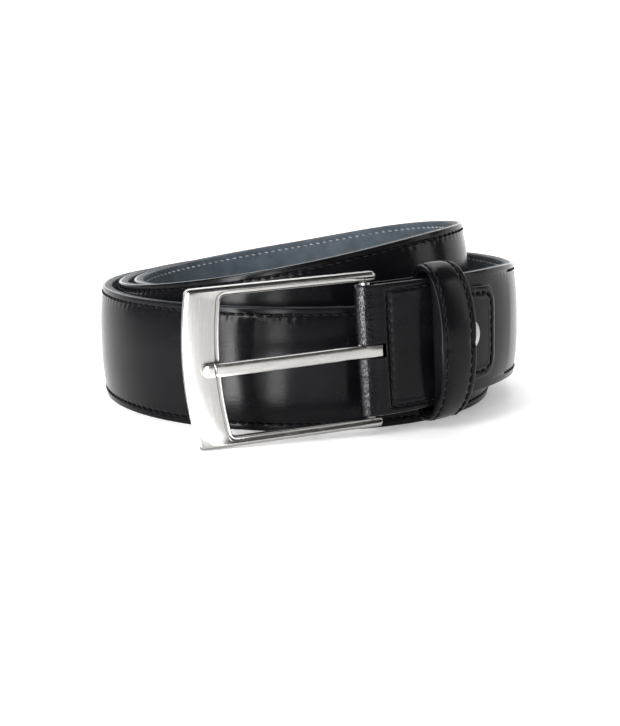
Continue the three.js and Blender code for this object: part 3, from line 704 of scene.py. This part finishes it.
def build_keeper(leather, black_thread, nickel):
    angle, length = keeper_angles(STITCH_PITCH / 4)
    run = np.linspace(0, length, len(angle))[:, None]
    half = KEEPER["width"] / 2
    # Half of the band's face as (distance from its middle, depth below the padding).
    right = np.array([(0.0, 0.0), (1.2, 0.02), (2.2, 0.1), (2.8, 0.22), (3.2, 0.38), (3.5, 0.56),
                      (3.75, 0.76), (KEEPER["stitches"], 0.9), (4.22, 0.76), (4.5, 0.58), (4.8, 0.52),
                      (5.1, 0.56), (5.32, 0.72), (5.46, 1.0), (half, KEEPER["edge_depth"])])
    face = np.concatenate([right[::-1] * (-1, 1), right[1:]])
    hole = 0.5 + 0.5 * np.cos(2 * PI * run / STITCH_PITCH)
    aside = np.abs(face[:, 0])[None]
    depth = face[:, 1][None] + 0.16 * hole * np.exp(-((aside - KEEPER["stitches"]) / 0.3)**2)
    depth = depth + 0.05 * hole * np.exp(-((aside - 3.2) / 0.5)**2)
    wi, ni = (v[:, None] for v in keeper_curve(KEEPER_SEAM, angle))
    wo, no = (v[:, None] for v in keeper_curve(KEEPER_OUTSIDE, angle))
    thick = np.hypot(wo - wi, no - ni)
    padded = keeper_padding(thick)
    wall = np.array([(half + 0.03, 0.62), (half + 0.05, 0.3), (half, 0.06), (half - 0.2, 0.0), (0.0, 0.0)])
    sides = np.concatenate([wall, wall[-2::-1] * (-1, 1)])
    k = np.concatenate([1 - depth * padded / thick,
                        (1 - KEEPER["edge_depth"] * padded / thick) * sides[:, 1]], 1)
    ds = np.concatenate([face[:, 0], sides[:, 0]])[None]
    obj = sweep("keeper_band", on_strap(KEEPER["s"] + ds, wi + (wo - wi) * k, ni + (no - ni) * k), leather)
    grid_uv(obj, run[:, 0], ds[0] + 20)
    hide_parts("keeper_leather")
    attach(obj, "keeper")

    coarse, _ = keeper_angles(1.2)
    lap = half - 0.3
    profile = np.array([(-lap, 0), (0.2 - lap, 0), (0, 0), (lap - 0.2, 0), (lap, 0),
                        (lap, 0.8), (lap - 0.2, 1), (0, 1), (0.2 - lap, 1), (-lap, 0.8)])
    wi, ni = (v[:, None] for v in keeper_curve(KEEPER_INSIDE, coarse))
    wo, no = (v[:, None] for v in keeper_curve(KEEPER_SEAM, coarse))
    ds, k = profile.T[:, None]
    rings = on_strap(KEEPER["s"] + ds, wi + (wo - wi) * k, ni + (no - ni) * k)
    # The loop's inside takes the black leather instead of the blue-grey lining: painted shade that darkens the
    # inside of the keeper.
    inner = sweep("keeper_inside_painted_dark", rings, leather)
    grid_uv(inner, np.arange(len(coarse)) * 1.2, profile[:, 0] + 10)
    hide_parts("keeper_lining")
    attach(inner, "keeper")

    middle_angle, length = keeper_angles(STITCH_PITCH)
    middle_angle = middle_angle[np.sin(middle_angle) > -0.6]      # no stitches show at the back
    for name, node, side in (("keeper_stitches_front", "keeper_thread_front", -1),
                             ("keeper_stitches_rear", "keeper_thread_rear", 1)):
        at = KEEPER["s"] + side * KEEPER["stitches"]

        def place(a):
            wi, ni = keeper_curve(KEEPER_SEAM, a)
            wo, no = keeper_curve(KEEPER_OUTSIDE, a)
            thick = np.hypot(wo - wi, no - ni)
            k = 1 - KEEPER["seam_depth"] * keeper_padding(thick) / thick
            return on_strap(at, wi + (wo - wi) * k, ni + (no - ni) * k)

        centre = place(middle_angle)
        ahead = unit(place(middle_angle + 0.002) - centre)
        up = unit(np.cross(ahead, np.broadcast_to(frames(at)[1], ahead.shape)))
        outward = centre - on_strap(at, MIDDLE, 0.0)
        up = up * np.sign(np.sum(up * outward, -1, keepdims=True))
        lengths = np.full(len(centre), STITCH_PITCH * 0.86)
        row = capsules(name, centre, ahead, up, lengths, 0.26, black_thread)
        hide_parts(node)
        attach(row, "keeper")

    leg = [(2.4, -5.0), (2.4, -5.75), (2.32, -6.0), (2.1, -6.13), (1.2, -6.18)]
    staple = [(-w, n) for w, n in leg] + [(0, -6.18)] + leg[::-1]
    points = np.array([on_strap(KEEPER["s"], MIDDLE + w, n) for w, n in staple])
    wire = tube("keeper_wire", points, 0.24, nickel)
    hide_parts("keeper_staple")
    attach(wire, "keeper")


def tube(name, points, radius, material, sides=12):
    """Round wire along points that lie in one plane."""
    ahead = unit(np.gradient(points, axis=0))
    normal = unit(np.cross(points[len(points) // 2] - points[0], points[-1] - points[0]))
    other = np.cross(ahead, normal)
    angle = np.arange(sides) * 2 * PI / sides
    round_ = np.cos(angle)[None, :, None] * normal + np.sin(angle)[None, :, None] * other[:, None]
    rings = points[:, None] + radius * round_
    obj = sweep(name, rings, material)
    grid_uv(obj, np.arange(len(points)) * 1.0, angle * radius)
    return obj


# ------------------------------------------------------------------ buckle
def buckle_axes():
    """Origin at the crossbar's middle, with the directions to the front bar, across and outwards."""
    centre, along, across, _ = bar_axes()
    turn = math.radians(-BUCKLE_TURN)
    ahead = -along
    forward = (ahead * math.cos(turn) + np.cross(across, ahead) * math.sin(turn)
               + across * np.dot(across, ahead) * (1 - math.cos(turn)))
    facing = -np.cross(forward, across)
    return centre, forward, np.cross(facing, forward), facing


def in_buckle(points):
    centre, forward, up, facing = buckle_axes()
    points = np.asarray(points, float)
    return centre + points[..., 0:1] * forward + points[..., 1:2] * up + points[..., 2:3] * facing


def buckle_outline(inner, counts=(56, 22, 90)):
    """The frame's outer or window outline, from the end of one arm to the end of the other."""
    b = BUCKLE
    half = (b["window"] if inner else b["height"]) / 2
    reach = b["front_x"] + b["bow"] - b["bar"] - b["inner_bow"] if inner else b["front_x"]
    bow = b["inner_bow"] if inner else b["bow"]
    radius = 1.5 if inner else 1.6
    straight = reach - 1.5

    def face(y):
        return reach + bow * (1 - (y / half)**2)

    arm = np.stack([np.linspace(-b["end"], straight, counts[0]), np.full(counts[0], half)], -1)
    end = np.array([face(half - radius), half - radius])
    t = np.linspace(0, 1, counts[1] + 2)[1:-1, None]
    corner = (1 - t)**2 * arm[-1] + 2 * t * (1 - t) * np.array([reach + 0.1, half]) + t * t * end
    y = np.linspace(half - radius, -(half - radius), counts[2])
    front = np.stack([face(y), y], -1)
    mirror = np.array([1, -1])
    return np.concatenate([arm, corner, front, corner[::-1] * mirror, arm[::-1] * mirror])


def outline_normals(points):
    tangent = unit(np.gradient(points, axis=0))
    return np.stack([tangent[:, 1], -tangent[:, 0]], -1)


def build_buckle(nickel, polished_painted_dark):
    outer, window = buckle_outline(False), buckle_outline(True)
    outward, inward = -outline_normals(outer), outline_normals(window)
    if np.sum(outward * (outer - np.array([20, 0]))) < 0:
        outward = -outward
    if np.sum(inward * (window - np.array([20, 0]))) < 0:
        inward = -inward
    top = BUCKLE["thick"] / 2
    width = np.linalg.norm(outer - window, axis=1)[:, None]
    fit = np.clip((width - 0.12) / 2.95, 0, 1)
    # The section, as (distance in from the outer side or the window, height).
    foot = [(0.3, -top), (0.08, -top + 0.1), (0.0, -top + 0.35)]
    rim = np.array(foot + [(0.0, 0.6), (0.03, 0.85), (0.12, 1.02), (0.28, 1.1), (0.5, 1.12), (0.62, 1.16),
                           (0.86, top - 0.03), (0.98, top)])
    well = np.array([(1.5, top), (1.42, top - 0.05), (1.15, 0.98), (0.8, 0.82), (0.5, 0.76), (0.36, 0.78),
                     (0.24, 0.84), (0.1, 0.76), (0.0, 0.5)] + foot[::-1])
    a = outer[:, None] - outward[:, None] * (rim[:, 0][None] * fit)[..., None]
    b = window[:, None] + inward[:, None] * (well[:, 0][None] * fit)[..., None]
    z = np.concatenate([rim[:, 1], well[:, 1]])
    plan = np.concatenate([a, b], 1)
    x = plan[..., 0]
    y = plan[..., 1]
    z = np.broadcast_to(z, x.shape)
    middle = ((outer + window) / 2)[:, None, 1]
    near_end = np.clip((outer[:, 0] + BUCKLE["end"]) / 1.3, 0, 1)[:, None]
    shrink = np.where(outer[:, :1] < 5, np.sqrt(1 - (1 - near_end)**2) * 0.92 + 0.08, 1.0)
    points = np.stack([x, middle + (y - middle) * shrink, z * shrink], -1)
    frame = sweep("buckle_metal", in_buckle(points), nickel)
    run = np.concatenate([[0], np.cumsum(np.linalg.norm(np.diff((outer + window) / 2, axis=0), axis=1))])
    grid_uv(frame, run, np.concatenate([rim[:, 0], 9 - well[:, 0]]))
    frame.data.materials.append(polished_painted_dark)
    # Bevel columns that take the polished copy: its lower roughness is real, its darker colour is painted
    # shade.
    bevel_painted_dark = np.zeros(len(z[0]), bool)
    bevel_painted_dark[3:9] = True
    bevel_painted_dark[len(rim) + 4:len(rim) + 9] = True
    columns = len(z[0])
    choice = []
    for polygon in frame.data.polygons:
        cols = sorted(v % columns for v in polygon.vertices)
        side_by_side = len(cols) == 4 and cols[-1] - cols[0] == 1
        choice.append(int(side_by_side and bevel_painted_dark[cols[0]] and bevel_painted_dark[cols[-1]]))
    frame.data.polygons.foreach_set("material_index", choice)
    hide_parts("buckle_frame")

    centre, forward, up, _ = buckle_axes()
    half = [(1.4, 18.4), (1.3, 18.5), (0.8, 18.5), (0.8, 20.0), (0.7, 20.1), (0, 20.1)]
    pin = [(r, -h) for r, h in half[::-1]] + half
    bar = lathe("buckle_pin", centre, up, forward, pin, nickel, 40)
    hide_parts("crossbar")
    for obj in (frame, bar):
        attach(obj, "buckle")


def build_prong(nickel):
    p = PRONG
    x = np.concatenate([np.linspace(0.2, 42.6, 86), 43.7 + 1.8 * np.sin(np.linspace(-0.6, 0.5, 22) * PI)])
    x = np.clip(x, None, p["length"] - 0.002)
    low = np.interp(x, [0.2, 1.6, 8, 25, 38, 44.6, 45.3, 45.5],
                    [1.45, 1.25, 0.35, 1.2, 1.75, 1.75, 2.0, 2.35])
    high = np.interp(x, [0.2, 3, 4.7, 8, 25, 40, 44.1, 45.1, 45.5],
                     [2.62, 2.5, 2.4, 2.6, 3.25, 3.65, 3.5, 3.1, 2.6])
    half = np.interp(x, [5, 9], [p["eye_width"] / 2, p["width"] / 2])
    tip = np.clip((x - (p["length"] - 1.8)) / 1.8, 0, 1)
    half = half * np.sqrt(np.clip(1 - tip**2, 0.002, 1))
    angle = np.arange(40) * 2 * PI / 40
    c, d = np.cos(angle), np.sin(angle)
    sc = np.sign(c) * np.abs(c)**0.5
    sd = np.sign(d) * np.abs(d)**np.where(d > 0, 0.62, 0.4)
    mid, tall = (low + high) / 2, (high - low) / 2
    rings = np.stack([np.broadcast_to(x[:, None], (len(x), 40)), half[:, None] * sc[None],
                      mid[:, None] + tall[:, None] * sd[None]], -1)
    shank = sweep("prong_bar", in_buckle(rings), nickel)
    grid_uv(shank, x, np.arange(40) * 0.26)
    turn = np.linspace(0.55, 2 * PI - 0.45, 110)
    section = np.array([(-1.0, -1), (-0.86, -1), (0.86, -1), (1.0, -1), (1.0, -0.8), (1.0, 0.6), (0.93, 0.88),
                        (0.8, 1.0), (-0.8, 1.0), (-0.93, 0.88), (-1.0, 0.6), (-1.0, -0.8)])
    around = turn[:, None]
    # The rolled end runs on behind the bar with a flat ridged top, level with the shank.
    c, d = np.cos(around), np.sin(around)
    flat = np.minimum(p["tail_top"] / np.maximum(d, 0.05), p["tail"] / np.maximum(-c, 0.05))
    outer_r = np.where((c < 0) & (around < 3.5), np.clip(flat, p["eye"], 4.4), p["eye"])
    back = -outer_r * c
    for ridge in (2.3, 2.85):
        outer_r = outer_r - 0.13 * np.exp(-((back - ridge) / 0.12)**2) * (d > 0.4)
    r = (outer_r + p["bore"]) / 2 + (outer_r - p["bore"]) / 2 * section[:, 1][None]
    rings = np.stack([r * np.cos(around), np.broadcast_to(section[:, 0] * p["eye_width"] / 2, r.shape),
                      r * np.sin(around)], -1)
    eye = sweep("prong_eye", in_buckle(rings), nickel)
    grid_uv(eye, turn * 2, section[:, 0] * 1.7)
    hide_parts("prong")
    for obj in (shank, eye):
        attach(obj, "prong")


# ------------------------------------------------------------------ stage
def softbox(name, where, target, width, height, power):
    data = bpy.data.lights.new(name, "AREA")
    data.shape = "RECTANGLE"
    data.size = width
    data.size_y = height
    data.energy = power
    obj = bpy.data.objects.new(name, data)
    bpy.context.scene.collection.objects.link(obj)
    obj.location = where
    obj.rotation_euler = (Vector(target) - Vector(where)).to_track_quat("-Z", "Y").to_euler()
    return obj


def aimed(azimuth, distance, height):
    """Point round the object: azimuth 0 is the camera's side and positive is to its right."""
    angle = math.radians(azimuth)
    return (distance * math.sin(angle), -distance * math.cos(angle), height)


def panel(name, corners, material):
    return make_mesh(name, corners, [(0, 1, 2, 3)], material, smooth=False)


def build_stage():
    """White floor and backdrop, soft panels, and two glowing cards on the floor for the leather to reflect."""
    n = Nodes("studio_white")
    mottled = n.noise(n.place((6, 6, 6)), detail=2)
    n.shade(Base_Color=n.blend(n.span(mottled, 0.3, 0.7), grey(0.90), grey(0.92)), Roughness=0.7,
            Emission_Color=grey(1.0), Emission_Strength=0.28)
    half, back, top = STAGE["half"], STAGE["back"], STAGE["height"]
    floor = panel("floor", [(-half, -half, 0), (half, -half, 0), (half, back, 0), (-half, back, 0)], n.material)
    w = Nodes("backdrop_white")
    w.shade(Base_Color=grey(0.9), Emission_Color=grey(1.0), Emission_Strength=1.0)
    wall = panel("backdrop", [(-half, back, 0), (half, back, 0), (half, back, top), (-half, back, top)],
                 w.material)
    # Each card is given by its brightness and its two ends, as (azimuth, distance, width).
    for name, radiance, ends in (("card_left", 20, ((-25.5, 78, 11), (-32.5, 520, 95))),
                                 ("card_front", 11, ((-10, 80, 9), (-10.5, 560, 84)))):
        c = Nodes(name)
        c.shade(Base_Color=grey(0.8), Emission_Color=grey(1.0), Emission_Strength=radiance)
        corners = []
        for (azimuth, distance, width), order in zip(ends, (1, -1)):
            x, y, _ = aimed(azimuth, distance, 0)
            side = np.array([math.cos(math.radians(azimuth)), math.sin(math.radians(azimuth))]) * width / 2
            corners += [(x + k * side[0], y + k * side[1], 0.1) for k in (-order, order)]
        panel(name, corners, c.material)
    world = bpy.data.worlds.new("studio")
    bpy.context.scene.world = world
    world.use_nodes = True
    world.node_tree.nodes["Background"].inputs["Color"].default_value = (1, 1, 1, 1)
    world.node_tree.nodes["Background"].inputs["Strength"].default_value = 0.12
    centre = (0, 0, 0.02)
    softbox("strip_left", aimed(-32, 0.42, 0.17), centre, 0.14, 0.34, 2.6)
    softbox("strip_front", aimed(-10.5, 0.52, 0.2), centre, 0.09, 0.4, 0.7)
    softbox("side_left", aimed(-105, 1.0, 0.36), centre, 0.7, 0.7, 0.3)
    softbox("side_right", aimed(88, 0.95, 0.36), centre, 0.3, 0.72, 1.8)
    softbox("top", (0.0, 0.4, 1.1), (0, 0.2, 0), 1.0, 0.8, 8.5)


def build_camera():
    data = bpy.data.cameras.new("camera")
    data.sensor_width = 36
    data.lens = 51.27
    data.shift_x = 0.0023
    data.clip_start = 0.01
    obj = bpy.data.objects.new("camera", data)
    bpy.context.scene.collection.objects.link(obj)
    obj.location = (0.00017, -0.3324, 0.0778)
    obj.rotation_euler = (math.radians(90 - 11.74), 0, 0)
    bpy.context.scene.camera = obj


# ------------------------------------------------------------------ assembly
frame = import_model()
leather = black_leather("black_leather")
folded = black_leather("black_leather_folded", crinkle=True)
glazed = black_leather("black_leather_bend", crinkle=True, gloss=0.4)
lining = lining_leather("lining_leather")
edge = painted_edge("painted_edge")
black = thread("black_thread", (0.003, 0.003, 0.003, 1), (0.008, 0.008, 0.009, 1), 0.6)
pale = thread("grey_thread", (0.20, 0.22, 0.23, 1), (0.36, 0.38, 0.40, 1), 0.75)
nickel = brushed_nickel("brushed_nickel")
# The bevels' polished nickel: less rough, and tone 0.6 paints shade into its colour.
polished_painted_dark = brushed_nickel("polished_nickel_painted_dark", 0.08, 0.13, (30, 1500, 1), 0.6)
build_strap(leather, lining, edge, black, pale)
build_chape(folded, glazed, black)
build_rivet(nickel)
build_keeper(leather, black, nickel)
build_buckle(nickel, polished_painted_dark)
build_prong(nickel)
build_stage()
build_camera()
bpy.context.scene.view_settings.view_transform = "Standard"
